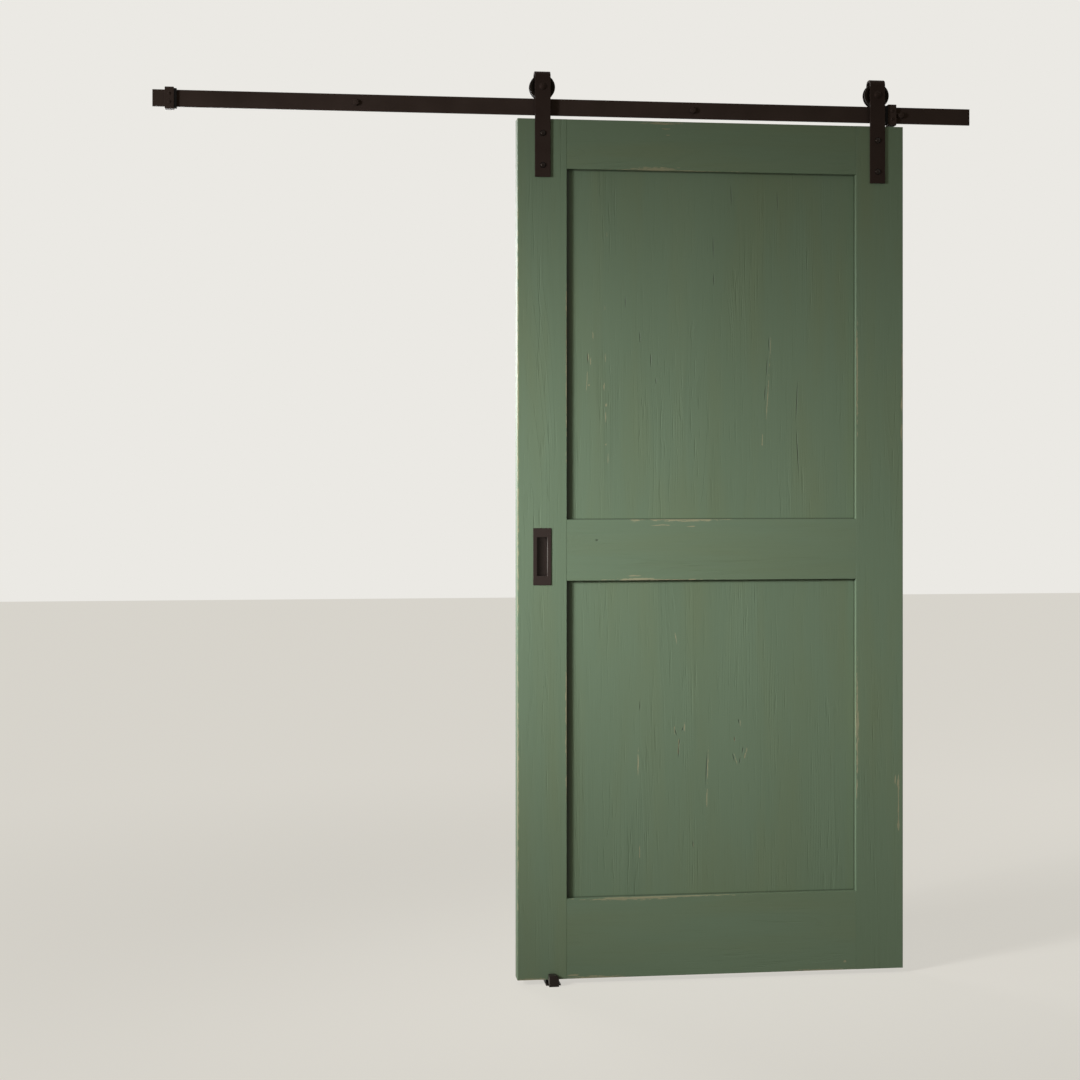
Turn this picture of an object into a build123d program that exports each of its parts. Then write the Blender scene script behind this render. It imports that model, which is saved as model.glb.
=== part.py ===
from build123d import *
import os
from math import asin, cos, radians, sin, tan

# Barn door on a flat track. Millimetres. X runs along the track, Y goes into the wall, Z is up.
# The wall's face is Y = 0 and the room lies at negative Y. The origin is on the wall's face,
# on the track's centre line, midway between its two outermost fixings.

# Track
track_height = 40.0
track_thickness = 6.0
track_edge = 0.6
fixing_span = 1345.0
left_overhang = 478.0
right_overhang = 177.0
inner_fixing_span = 372.0
inner_fixing_shift = -38.5

# Lag screws, washers and wall spacers
lag_shank_diameter = 7.2
lag_thread_diameter = 8.0
lag_embedment = 38.0
lag_point = 8.0
lag_head_flats = 13.0
lag_head_height = 5.3
lag_head_chamfer = 0.8
washer_diameter = 17.0
washer_thickness = 1.6
bolt_hole_clearance = 0.5
spacer_diameter = 22.0
spacer_chamfer = 0.6

# Leaf
door_width = 960.0
door_height = 2080.0
door_thickness = 44.0
door_top_gap = 10.0
door_wall_gap = 6.0
stile_width = 120.0
top_rail_height = 120.0
lock_rail_height = 148.0
lock_rail_rise = 963.0
bottom_rail_height = 193.5
panel_thickness = 20.0
groove_depth = 12.0
panel_play = 2.0
tenon_length = 40.0
tenon_thickness = 14.0
tenon_shoulder = 22.0
mortise_play = 1.0
outer_round = 2.0
inner_arris = 0.7

# Flush pulls
pull_width = 44.0
pull_height = 138.0
pull_plate = 2.0
pull_plate_edge = 0.5
cup_width = 25.0
cup_height = 93.0
cup_depth = 14.0
cup_wall = 1.5
cup_corner = 1.5
cup_rim = 1.5
cup_clearance = 0.5
pull_inset = 60.0
pull_rise = 1022.0
pull_screw_pitch = 62.0
pull_screw_diameter = 2.8
pull_screw_length = 7.0
pull_screw_head = 5.6
pull_screw_head_height = 1.8
pull_screw_head_edge = 0.5
pull_screw_cross = 3.0
pull_screw_cross_width = 0.7
pull_screw_cross_depth = 1.0
pull_screw_end_gap = 0.5

# Wheels
tread_radius = 27.0
flange_height = 4.0
wheel_width = 19.0
flange_slope = 0.6
track_side_play = 1.0
rolling_gap = 0.3
wheel_edge = 1.0
hub_land = 4.0
rim_land = 6.0
dish_depth = 3.0

# Ball bearings
bearing_bore = 10.0
bearing_diameter = 26.0
bearing_width = 8.0
ball_diameter = 4.76
ball_count = 7
ball_clearance = 0.25
race_shoulder = 1.4
cage_play = 0.3
cage_width = 5.8
cage_pocket_play = 0.2
shield_thickness = 0.4
shield_seat = 0.6
shield_gap = 0.4
seat_lip = 1.5
ring_thickness = 1.2
ring_width = 1.8
ring_seat = 0.7
ring_mouth = 50.0
ring_ear = 1.6
ring_eye = 0.7

# Hangers
strap_width = 38.0
strap_thickness = 5.0
strap_edge = 0.8
strap_reach = 141.0
strap_bend = 9.0
strap_head_gap = 2.2
strap_tail = 19.0
strap_tail_corner = 12.0
wheel_side_gap = 3.0
left_hanger_inset = 61.0
right_hanger_inset = 66.0
hanger_bolt_drop = 35.5
hanger_bolt_pitch = 77.0
hanger_bolt_diameter = 8.0
hanger_bolt_length = 40.0
hanger_bolt_head = 15.0
hanger_bolt_head_height = 5.0
barrel_diameter = 11.0
barrel_length = 28.0
barrel_bore_depth = 26.0
barrel_flange = 20.0
barrel_flange_thickness = 2.0
barrel_flange_edge = 0.6
barrel_socket_flats = 6.0
barrel_socket_depth = 1.2
thread_clearance = 0.1
barrel_hole_clearance = 0.3
axle_clearance = 0.04
axle_head = 19.0
axle_head_height = 5.0
axle_nut_flats = 17.0
axle_nut_height = 8.0
axle_nut_chamfer = 0.9
axle_thread_end = 3.0
bush_diameter = 14.0

# End stops
stop_width = 21.5
stop_height = 51.5
stop_depth = 20.0
stop_corner = 1.5
stop_edge = 0.6
stop_fit = 0.2
left_stop_inset = 29.0
right_stop_inset = 190.0
rest_gap = 9.5
stop_screw_pitch = 20.0
stop_screw_diameter = 5.0
stop_screw_head = 9.0
stop_screw_head_height = 2.4
stop_socket_flats = 3.0
stop_socket_depth = 1.5
bumper_thickness = 6.0
bumper_height = 46.0
bumper_depth = 18.0
bumper_corner = 2.0

# Floor guide
floor_gap = 13.0
guide_inset = 86.5
guide_plate = 3.0
guide_bend = 2.0
guide_play = 0.8
guide_foot_width = 36.0
guide_foot_reach = 7.0
guide_block = 20.0
guide_lip = 3.0
guide_width = 24.0
guide_height = 27.0
guide_round = 9.0
guide_corner = 2.5
guide_edge = 1.5
guide_screw_pitch = 24.0
guide_screw_thread = 4.0
guide_screw_neck = 3.2
guide_screw_head = 8.0
guide_screw_length = 25.0
guide_screw_point = 5.0
guide_screw_cross = 4.4
guide_screw_cross_width = 0.9
guide_screw_cross_depth = 1.6
guide_cone_angle = 82.0

# Places that follow from the sizes above
track_left = -fixing_span / 2 - left_overhang
track_right = fixing_span / 2 + right_overhang
track_length = track_right - track_left
track_top = track_height / 2
door_rear = -door_wall_gap
door_front = door_rear - door_thickness
door_middle = (door_front + door_rear) / 2
door_top = -track_height / 2 - door_top_gap
door_foot = door_top - door_height
right_stop_face = track_right - right_stop_inset - stop_width
door_right = right_stop_face - rest_gap - strap_width / 2 + right_hanger_inset
door_left = door_right - door_width
strap_gap = wheel_width + 2 * wheel_side_gap
strap_face = door_front - strap_thickness
track_middle = door_front + strap_gap / 2
track_front = track_middle - track_thickness / 2
track_rear = track_middle + track_thickness / 2
flange_radius = tread_radius + flange_height
axle_z = track_top + tread_radius + rolling_gap
hangers = {"left": door_left + left_hanger_inset, "right": door_right - right_hanger_inset}
hanger_bolt_heights = (door_top - hanger_bolt_drop, door_top - hanger_bolt_drop - hanger_bolt_pitch)
fixings = (
    -fixing_span / 2,
    inner_fixing_shift - inner_fixing_span / 2,
    inner_fixing_shift + inner_fixing_span / 2,
    fixing_span / 2,
)


def facing(y):
    """The upright plane at depth y: its own x is X, its own y is Z, and it faces the room."""
    return Plane.XZ.offset(-y)


def save(piece, name):
    """Label a finished piece and write it to its own file."""
    piece.part.label = name
    export_step(piece.part, f"parts/{name}.step")


os.makedirs("parts", exist_ok=True)

# Track bar: flat bar with its four fixing holes
lag_hole_radius = lag_thread_diameter / 2 + bolt_hole_clearance
with BuildPart() as track_bar:
    with BuildSketch(Plane.YZ.offset(track_left)):
        with Locations((track_middle, 0)):
            Rectangle(track_thickness, track_height)
    extrude(amount=track_length)
    fillet(track_bar.edges().filter_by(Axis.X), track_edge)
    with BuildSketch(facing(track_rear)):
        with Locations(*[(x, 0) for x in fixings]):
            Circle(lag_hole_radius)
    extrude(amount=track_thickness, mode=Mode.SUBTRACT)
save(track_bar, "track_bar")

# Wall fixings: a spacer, a washer and a lag screw at each hole of the track
lag_seat = track_front - washer_thickness
spacer_length = -track_rear
for number, fixing_x in enumerate(fixings, start=1):
    with BuildPart() as wall_spacer:
        with BuildSketch(facing(track_rear)):
            with Locations((fixing_x, 0)):
                Circle(spacer_diameter / 2)
        extrude(amount=-spacer_length)
        chamfer(wall_spacer.edges().filter_by(GeomType.CIRCLE), spacer_chamfer)
        with BuildSketch(facing(track_rear)):
            with Locations((fixing_x, 0)):
                Circle(lag_hole_radius)
        extrude(amount=-spacer_length, mode=Mode.SUBTRACT)
    save(wall_spacer, f"wall_spacer_{number}")

    with BuildPart() as lag_washer:
        with BuildSketch(facing(track_front)):
            with Locations((fixing_x, 0)):
                Circle(washer_diameter / 2)
                Circle(lag_hole_radius, mode=Mode.SUBTRACT)
        extrude(amount=washer_thickness)
    save(lag_washer, f"lag_washer_{number}")

    with BuildPart() as lag_screw:
        with BuildSketch(facing(lag_seat)):
            with Locations((fixing_x, 0)):
                RegularPolygon(lag_head_flats / 2, 6, major_radius=False)
        extrude(amount=lag_head_height)
        chamfer(lag_screw.faces().sort_by(Axis.Y)[0].edges(), lag_head_chamfer)
        with BuildSketch(Plane((fixing_x, 0, 0))):
            with BuildLine():
                Polyline(
                    (0, lag_seat),
                    (lag_shank_diameter / 2, lag_seat),
                    (lag_shank_diameter / 2, 0),
                    (lag_thread_diameter / 2, 0),
                    (lag_thread_diameter / 2, lag_embedment - lag_point),
                    (0, lag_embedment),
                    close=True,
                )
            make_face()
        revolve(axis=Axis((fixing_x, 0, 0), (0, 1, 0)))
    save(lag_screw, f"lag_screw_{number}")

# End stops: a block slotted over the track, its two clamp screws and the rubber pad that a wheel meets.
# inward is the direction from the block towards the wheels.
stops = {
    "left": (track_left + left_stop_inset + stop_width / 2, 1),
    "right": (right_stop_face + stop_width / 2, -1),
}
stop_front = track_middle - stop_depth / 2
stop_screw_heights = (stop_screw_pitch / 2, -stop_screw_pitch / 2)
stop_screw_reach = track_front - stop_front
slot_thickness = track_thickness + 2 * stop_fit
slot_height = track_height + 2 * stop_fit
for side, (stop_x, inward) in stops.items():
    with BuildPart() as stop_block:
        with BuildSketch(facing(stop_front)):
            with Locations((stop_x, 0)):
                RectangleRounded(stop_width, stop_height, stop_corner)
        extrude(amount=-stop_depth)
        fillet(stop_block.faces().sort_by(Axis.Y)[0].edges(), stop_edge)
        with BuildSketch(Plane.YZ.offset(stop_x)):
            with Locations((track_middle, 0)):
                Rectangle(slot_thickness, slot_height)
        extrude(amount=stop_width / 2, both=True, mode=Mode.SUBTRACT)
        with BuildSketch(facing(stop_front)):
            with Locations(*[(stop_x, z) for z in stop_screw_heights]):
                Circle(stop_screw_diameter / 2 + thread_clearance)
        extrude(amount=-stop_depth / 2, mode=Mode.SUBTRACT)
    save(stop_block, f"{side}_stop_block")

    with BuildPart() as stop_screws:
        for screw_z in stop_screw_heights:
            with BuildSketch(Plane((stop_x, stop_front, screw_z))):
                with BuildLine():
                    Polyline(
                        (stop_screw_head / 2, 0),
                        (stop_screw_diameter / 2, 0),
                        (stop_screw_diameter / 2, stop_screw_reach),
                        (0, stop_screw_reach),
                        (0, -stop_screw_head_height),
                    )
                    TangentArc((0, -stop_screw_head_height), (stop_screw_head / 2, 0), tangent=(1, 0))
                make_face()
            revolve(axis=Axis((stop_x, stop_front, screw_z), (0, 1, 0)))
        with BuildSketch(facing(stop_front - stop_screw_head_height)):
            with Locations(*[(stop_x, z) for z in stop_screw_heights]):
                RegularPolygon(stop_socket_flats / 2, 6, major_radius=False)
        extrude(amount=-stop_socket_depth, mode=Mode.SUBTRACT)
    save(stop_screws, f"{side}_stop_screws")

    with BuildPart() as stop_bumper:
        with BuildSketch(Plane.YZ.offset(stop_x + inward * stop_width / 2)):
            with Locations((track_middle, 0)):
                RectangleRounded(bumper_depth, bumper_height, bumper_corner)
                Rectangle(slot_thickness, slot_height, mode=Mode.SUBTRACT)
        extrude(amount=inward * bumper_thickness)
    save(stop_bumper, f"{side}_stop_bumper")

# Leaf, stiles: mortised for three rails and grooved for two panels.
# outer is the direction from the leaf's middle towards that stile's outer edge.
rails = {
    "top_rail": (door_top - top_rail_height, top_rail_height),
    "lock_rail": (door_foot + lock_rail_rise, lock_rail_height),
    "bottom_rail": (door_foot, bottom_rail_height),
}
openings = {
    "upper_panel": (door_foot + lock_rail_rise + lock_rail_height, door_top - top_rail_height),
    "lower_panel": (door_foot + bottom_rail_height, door_foot + lock_rail_rise),
}
opening_left = door_left + stile_width
opening_right = door_right - stile_width
opening_width = opening_right - opening_left
opening_middle = (opening_left + opening_right) / 2
pull_x = door_left + pull_inset
pull_z = door_foot + pull_rise
cup_outer_depth = cup_depth + cup_wall - pull_plate
cup_outer_width = cup_width + 2 * cup_wall
cup_outer_height = cup_height + 2 * cup_wall
pocket_width = cup_outer_width + 2 * cup_clearance
pocket_height = cup_outer_height + 2 * cup_clearance
pocket_depth = cup_outer_depth + cup_clearance
pull_screw_places = [(pull_x, pull_z + pull_screw_pitch / 2), (pull_x, pull_z - pull_screw_pitch / 2)]
hanger_hole_radius = hanger_bolt_diameter / 2 + bolt_hole_clearance
barrel_hole_radius = barrel_diameter / 2 + barrel_hole_clearance
for side, stile_inner, outer in (("left", opening_left, -1), ("right", opening_right, 1)):
    stile_middle = stile_inner + outer * stile_width / 2
    with BuildPart() as stile:
        with BuildSketch(facing(door_rear)):
            with Locations((stile_middle, (door_top + door_foot) / 2)):
                Rectangle(stile_width, door_height)
        extrude(amount=door_thickness)
        outward = Axis((stile_middle, door_middle, 0), (outer, 0, 0))
        outer_arrises = stile.edges().filter_by(Axis.Z).group_by(outward)[-1]
        fillet(outer_arrises, outer_round)
        inner_arrises = stile.edges().filter_by(Axis.Z).group_by(outward)[0]
        chamfer(inner_arrises, inner_arris)
        with BuildSketch(facing(door_middle)):
            for low, high in openings.values():
                with Locations((stile_inner, (low + high) / 2)):
                    Rectangle(2 * groove_depth, high - low + 2 * groove_depth)
        extrude(amount=panel_thickness / 2, both=True, mode=Mode.SUBTRACT)
        with BuildSketch(facing(door_middle)):
            for low, height in rails.values():
                with Locations((stile_inner, low + height / 2)):
                    Rectangle(2 * (tenon_length + mortise_play), height - 2 * tenon_shoulder)
        extrude(amount=tenon_thickness / 2, both=True, mode=Mode.SUBTRACT)
        with BuildSketch(facing(door_front)):
            with Locations(*[(hangers[side], z) for z in hanger_bolt_heights]):
                Circle(hanger_hole_radius)
        extrude(amount=-door_thickness, mode=Mode.SUBTRACT)
        with BuildSketch(facing(door_rear)):
            with Locations(*[(hangers[side], z) for z in hanger_bolt_heights]):
                Circle(barrel_hole_radius)
        extrude(amount=barrel_length + mortise_play, mode=Mode.SUBTRACT)
        if side == "left":
            for face_y, inwards in ((door_front, -1), (door_rear, 1)):
                with BuildSketch(facing(face_y)):
                    with Locations((pull_x, pull_z)):
                        Rectangle(pocket_width, pocket_height)
                extrude(amount=inwards * pocket_depth, mode=Mode.SUBTRACT)
                with BuildSketch(facing(face_y)):
                    with Locations(*pull_screw_places):
                        Circle(pull_screw_diameter / 2 + thread_clearance)
                extrude(amount=inwards * (cup_outer_depth + pull_screw_length), mode=Mode.SUBTRACT)
    save(stile, f"{side}_stile")

# Leaf, rails: a tenon at each end and a groove in each edge that meets a panel
for name, (low, height) in rails.items():
    with BuildPart() as rail:
        with BuildSketch(facing(door_rear)):
            with Locations((opening_middle, low + height / 2)):
                Rectangle(opening_width, height)
        extrude(amount=door_thickness)
        chamfer(rail.edges().filter_by(Axis.X), inner_arris)
        with BuildSketch(facing(door_middle)):
            with Locations((opening_middle, low + height / 2)):
                Rectangle(opening_width + 2 * tenon_length, height - 2 * tenon_shoulder)
        extrude(amount=tenon_thickness / 2, both=True)
        grooved_edges = [z for opening in openings.values() for z in opening if z in (low, low + height)]
        with BuildSketch(facing(door_middle)):
            with Locations(*[(opening_middle, z) for z in grooved_edges]):
                Rectangle(opening_width, 2 * groove_depth)
        extrude(amount=panel_thickness / 2, both=True, mode=Mode.SUBTRACT)
    save(rail, name)

# Leaf, panels: flat boards that stop short of the grooves' floors
panel_lap = groove_depth - panel_play
for name, (low, high) in openings.items():
    with BuildPart() as panel:
        with BuildSketch(facing(door_middle)):
            with Locations((opening_middle, (low + high) / 2)):
                Rectangle(opening_width + 2 * panel_lap, high - low + 2 * panel_lap)
        extrude(amount=panel_thickness / 2, both=True)
    save(panel, name)

# Flush pulls: a plate on the stile's face, with a cup behind it and two pan head screws in its floor.
# inwards is the direction of the cup along the plane's normal, which points at the room.
for side, face_y, inwards in (("front", door_front, -1), ("rear", door_rear, 1)):
    plate_y = face_y + inwards * pull_plate
    floor_y = plate_y - inwards * cup_depth
    outward = Axis((pull_x, face_y, pull_z), (0, inwards, 0))
    with BuildPart() as pull:
        with BuildSketch(facing(face_y)):
            with Locations((pull_x, pull_z)):
                Rectangle(pull_width, pull_height)
        extrude(amount=-inwards * pull_plate)
        chamfer(pull.faces().sort_by(outward)[-1].edges(), pull_plate_edge)
        with BuildSketch(facing(face_y)):
            with Locations((pull_x, pull_z)):
                RectangleRounded(cup_outer_width, cup_outer_height, cup_corner + cup_wall)
        extrude(amount=inwards * cup_outer_depth)
        with BuildSketch(facing(plate_y)):
            with Locations((pull_x, pull_z)):
                RectangleRounded(cup_width, cup_height, cup_corner)
        extrude(amount=inwards * cup_depth, mode=Mode.SUBTRACT)
        fillet(pull.faces().sort_by(outward)[-1].inner_wires().edges(), cup_rim)
        with BuildSketch(facing(floor_y)):
            with Locations(*pull_screw_places):
                Circle(pull_screw_diameter / 2 + thread_clearance)
        extrude(amount=inwards * cup_wall, mode=Mode.SUBTRACT)
    save(pull, f"{side}_pull")

    with BuildPart() as pull_screws:
        with BuildSketch(facing(floor_y)):
            with Locations(*pull_screw_places):
                Circle(pull_screw_head / 2)
        extrude(amount=-inwards * pull_screw_head_height)
        head_rims = pull_screws.edges().filter_by(GeomType.CIRCLE).group_by(outward)[-1]
        fillet(head_rims, pull_screw_head_edge)
        with BuildSketch(facing(floor_y + inwards * pull_screw_head_height)):
            with Locations(*pull_screw_places):
                Rectangle(pull_screw_cross, pull_screw_cross_width)
                Rectangle(pull_screw_cross_width, pull_screw_cross)
        extrude(amount=inwards * pull_screw_cross_depth, mode=Mode.SUBTRACT)
        with BuildSketch(facing(floor_y)):
            with Locations(*pull_screw_places):
                Circle(pull_screw_diameter / 2)
        extrude(amount=inwards * (cup_wall + pull_screw_length - pull_screw_end_gap))
    save(pull_screws, f"{side}_pull_screws")

# Hangers: a strap bent over the wheel, bolted through the stile, and the axle that it carries
crown_z = axle_z + flange_radius + strap_head_gap
strap_back = door_front + strap_gap
strap_rear = strap_back + strap_thickness
strap_foot = door_top - strap_reach
strap_tail_z = axle_z - strap_tail
barrel_tip = door_rear - barrel_length
axle_radius = bearing_bore / 2 - axle_clearance
axle_end = strap_rear + axle_nut_height + axle_thread_end
race_front = track_middle - bearing_width / 2
race_rear = track_middle + bearing_width / 2
pitch_radius = (bearing_bore + bearing_diameter) / 4
ball_radius = ball_diameter / 2
pocket_radius = ball_radius + cage_pocket_play
inner_shoulder = pitch_radius - race_shoulder
outer_shoulder = pitch_radius + race_shoulder
seat_radius = bearing_diameter / 2
half_width = wheel_width / 2
half_groove = track_thickness / 2 + track_side_play
ring_groove = seat_radius + ring_seat
hub_radius = ring_groove + hub_land
rim_radius = flange_radius - rim_land
mouth_half = radians(ring_mouth / 2)
mouth_sides = [(turn * rim_radius * sin(mouth_half), rim_radius * cos(mouth_half)) for turn in (-1, 1)]
ear_radius = ring_groove - ring_ear
ear_half = mouth_half + asin(ring_ear / ear_radius)
ring_ears = [(turn * ear_radius * sin(ear_half), ear_radius * cos(ear_half)) for turn in (-1, 1)]
for side, hanger_x in hangers.items():
    with BuildPart() as hanger_strap:
        with BuildSketch(Plane.YZ.offset(hanger_x)):
            with BuildLine():
                FilletPolyline(
                    (door_front, strap_foot),
                    (door_front, crown_z),
                    (strap_back, crown_z),
                    (strap_back, strap_tail_z),
                    radius=strap_bend,
                )
                FilletPolyline(
                    (strap_face, strap_foot),
                    (strap_face, crown_z + strap_thickness),
                    (strap_rear, crown_z + strap_thickness),
                    (strap_rear, strap_tail_z),
                    radius=strap_bend + strap_thickness,
                )
                Line((door_front, strap_foot), (strap_face, strap_foot))
                Line((strap_back, strap_tail_z), (strap_rear, strap_tail_z))
            make_face()
        extrude(amount=strap_width / 2, both=True)
        tail_corners = hanger_strap.edges().filter_by(Axis.Y).filter_by_position(
            Axis.Y, strap_back, strap_rear
        )
        fillet(tail_corners, strap_tail_corner)
        fillet(hanger_strap.faces().filter_by(Axis.X).edges(), strap_edge)
        with BuildSketch(facing(strap_rear)):
            with Locations((hanger_x, axle_z)):
                Circle(axle_radius + bolt_hole_clearance)
        extrude(amount=strap_rear - strap_face, mode=Mode.SUBTRACT)
        with BuildSketch(facing(door_front)):
            with Locations(*[(hanger_x, z) for z in hanger_bolt_heights]):
                Circle(hanger_hole_radius)
        extrude(amount=strap_thickness, mode=Mode.SUBTRACT)
    save(hanger_strap, f"{side}_hanger_strap")

    with BuildPart() as hanger_bolts:
        for bolt_z in hanger_bolt_heights:
            with BuildSketch(Plane((hanger_x, strap_face, bolt_z))):
                with BuildLine():
                    Polyline(
                        (hanger_bolt_head / 2, 0),
                        (hanger_bolt_diameter / 2, 0),
                        (hanger_bolt_diameter / 2, hanger_bolt_length),
                        (0, hanger_bolt_length),
                        (0, -hanger_bolt_head_height),
                    )
                    TangentArc((0, -hanger_bolt_head_height), (hanger_bolt_head / 2, 0), tangent=(1, 0))
                make_face()
            revolve(axis=Axis((hanger_x, strap_face, bolt_z), (0, 1, 0)))
    save(hanger_bolts, f"{side}_hanger_bolts")

    with BuildPart() as hanger_nuts:
        for bolt_z in hanger_bolt_heights:
            with BuildSketch(facing(door_rear)):
                with Locations((hanger_x, bolt_z)):
                    Circle(barrel_flange / 2)
            extrude(amount=-barrel_flange_thickness)
            with BuildSketch(facing(door_rear)):
                with Locations((hanger_x, bolt_z)):
                    Circle(barrel_diameter / 2)
            extrude(amount=barrel_length)
            with BuildSketch(facing(barrel_tip)):
                with Locations((hanger_x, bolt_z)):
                    Circle(hanger_bolt_diameter / 2 + thread_clearance)
            extrude(amount=-barrel_bore_depth, mode=Mode.SUBTRACT)
            with BuildSketch(facing(door_rear + barrel_flange_thickness)):
                with Locations((hanger_x, bolt_z)):
                    RegularPolygon(barrel_socket_flats / 2, 6, major_radius=False)
            extrude(amount=barrel_socket_depth, mode=Mode.SUBTRACT)
        flange_rims = hanger_nuts.edges().filter_by(GeomType.CIRCLE).group_by(Axis.Y)[-1]
        chamfer(flange_rims, barrel_flange_edge)
    save(hanger_nuts, f"{side}_hanger_nuts")

    with BuildPart() as axle_bolt:
        with BuildSketch(Plane((hanger_x, strap_face, axle_z))):
            with BuildLine():
                Polyline(
                    (axle_head / 2, 0),
                    (axle_radius, 0),
                    (axle_radius, axle_end - strap_face),
                    (0, axle_end - strap_face),
                    (0, -axle_head_height),
                )
                TangentArc((0, -axle_head_height), (axle_head / 2, 0), tangent=(1, 0))
            make_face()
        revolve(axis=Axis((hanger_x, strap_face, axle_z), (0, 1, 0)))
    save(axle_bolt, f"{side}_axle_bolt")

    with BuildPart() as axle_nut:
        with BuildSketch(facing(strap_rear)):
            with Locations((hanger_x, axle_z)):
                RegularPolygon(axle_nut_flats / 2, 6, major_radius=False)
        extrude(amount=-axle_nut_height)
        chamfer(axle_nut.faces().sort_by(Axis.Y)[-1].edges(), axle_nut_chamfer)
        with BuildSketch(facing(strap_rear)):
            with Locations((hanger_x, axle_z)):
                Circle(axle_radius + thread_clearance)
        extrude(amount=-axle_nut_height, mode=Mode.SUBTRACT)
    save(axle_nut, f"{side}_axle_nut")

    bushes = {"front": (door_front, race_front), "rear": (race_rear, strap_back)}
    for place, (bush_front, bush_rear) in bushes.items():
        with BuildPart() as bush:
            with BuildSketch(facing(bush_rear)):
                with Locations((hanger_x, axle_z)):
                    Circle(bush_diameter / 2)
                    Circle(bearing_bore / 2, mode=Mode.SUBTRACT)
            extrude(amount=bush_rear - bush_front)
        save(bush, f"{side}_{place}_bush")

    # Ball bearing: the ring on the axle, the ring in the wheel, the balls in their cage and two shields
    axle_centre = (hanger_x, track_middle, axle_z)
    axle_axis = Axis(axle_centre, (0, 1, 0))
    axle_plane = Plane(axle_centre, x_dir=(1, 0, 0), z_dir=(0, -1, 0))
    with BuildPart() as inner_race:
        with BuildSketch(Plane(axle_centre)):
            with Locations(((bearing_bore / 2 + inner_shoulder) / 2, 0)):
                Rectangle(inner_shoulder - bearing_bore / 2, bearing_width)
            with Locations((pitch_radius, 0)):
                Circle(ball_radius + ball_clearance, mode=Mode.SUBTRACT)
        revolve(axis=axle_axis)
    save(inner_race, f"{side}_inner_race")

    with BuildPart() as outer_race:
        with BuildSketch(Plane(axle_centre)):
            with Locations(((seat_radius + outer_shoulder) / 2, 0)):
                Rectangle(seat_radius - outer_shoulder, bearing_width)
            with Locations((pitch_radius, 0)):
                Circle(ball_radius + ball_clearance, mode=Mode.SUBTRACT)
            with Locations((outer_shoulder, bearing_width / 2), (outer_shoulder, -bearing_width / 2)):
                Rectangle(2 * shield_seat, 2 * shield_seat, mode=Mode.SUBTRACT)
        revolve(axis=axle_axis)
    save(outer_race, f"{side}_outer_race")

    with BuildPart(axle_plane) as bearing_balls:
        with PolarLocations(pitch_radius, ball_count):
            Sphere(ball_radius)
    save(bearing_balls, f"{side}_bearing_balls")

    with BuildPart(axle_plane) as bearing_cage:
        Cylinder(outer_shoulder - cage_play, cage_width)
        Cylinder(inner_shoulder + cage_play, cage_width, mode=Mode.SUBTRACT)
        with PolarLocations(pitch_radius, ball_count):
            Cylinder(pocket_radius, ball_diameter, rotation=(0, 90, 0), mode=Mode.SUBTRACT)
    save(bearing_cage, f"{side}_bearing_cage")

    with BuildPart() as bearing_shields:
        for shield_y in (race_front + shield_seat, race_rear - shield_seat + shield_thickness):
            with BuildSketch(facing(shield_y)):
                with Locations((hanger_x, axle_z)):
                    Circle(outer_shoulder + shield_seat)
                    Circle(inner_shoulder + shield_gap, mode=Mode.SUBTRACT)
            extrude(amount=shield_thickness)
    save(bearing_shields, f"{side}_bearing_shields")

    # Wheel: turned with two flanges, dished faces, a bearing seat with a lip and a snap ring groove
    with BuildPart() as wheel:
        with BuildSketch(Plane(axle_centre)):
            with BuildLine():
                Polyline(
                    (seat_radius, half_width),
                    (hub_radius, half_width),
                    (hub_radius, half_width - dish_depth),
                    (rim_radius, half_width - dish_depth),
                    (rim_radius, half_width),
                    (flange_radius - wheel_edge, half_width),
                    (flange_radius, half_width - wheel_edge),
                    (flange_radius, half_groove + flange_slope),
                    (tread_radius, half_groove),
                    (tread_radius, -half_groove),
                    (flange_radius, -half_groove - flange_slope),
                    (flange_radius, wheel_edge - half_width),
                    (flange_radius - wheel_edge, -half_width),
                    (rim_radius, -half_width),
                    (rim_radius, dish_depth - half_width),
                    (hub_radius, dish_depth - half_width),
                    (hub_radius, -half_width),
                    (seat_radius - seat_lip, -half_width),
                    (seat_radius - seat_lip, -bearing_width / 2),
                    (seat_radius, -bearing_width / 2),
                    (seat_radius, bearing_width / 2),
                    (ring_groove, bearing_width / 2),
                    (ring_groove, bearing_width / 2 + ring_thickness),
                    (seat_radius, bearing_width / 2 + ring_thickness),
                    close=True,
                )
            make_face()
        revolve(axis=axle_axis)
    save(wheel, f"{side}_wheel")

    # Snap ring: sprung into the wheel's groove, open at the top between two ears with plier eyes
    with BuildPart() as retaining_ring:
        with BuildSketch(facing(race_rear + ring_thickness)):
            with Locations((hanger_x, axle_z)):
                Circle(ring_groove)
                Circle(ring_groove - ring_width, mode=Mode.SUBTRACT)
                with BuildLine():
                    Polyline((0, 0), *mouth_sides, close=True)
                make_face(mode=Mode.SUBTRACT)
            with Locations(*[(hanger_x + ear_x, axle_z + ear_z) for ear_x, ear_z in ring_ears]):
                Circle(ring_ear)
                Circle(ring_eye, mode=Mode.SUBTRACT)
        extrude(amount=ring_thickness)
    save(retaining_ring, f"{side}_retaining_ring")

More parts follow.
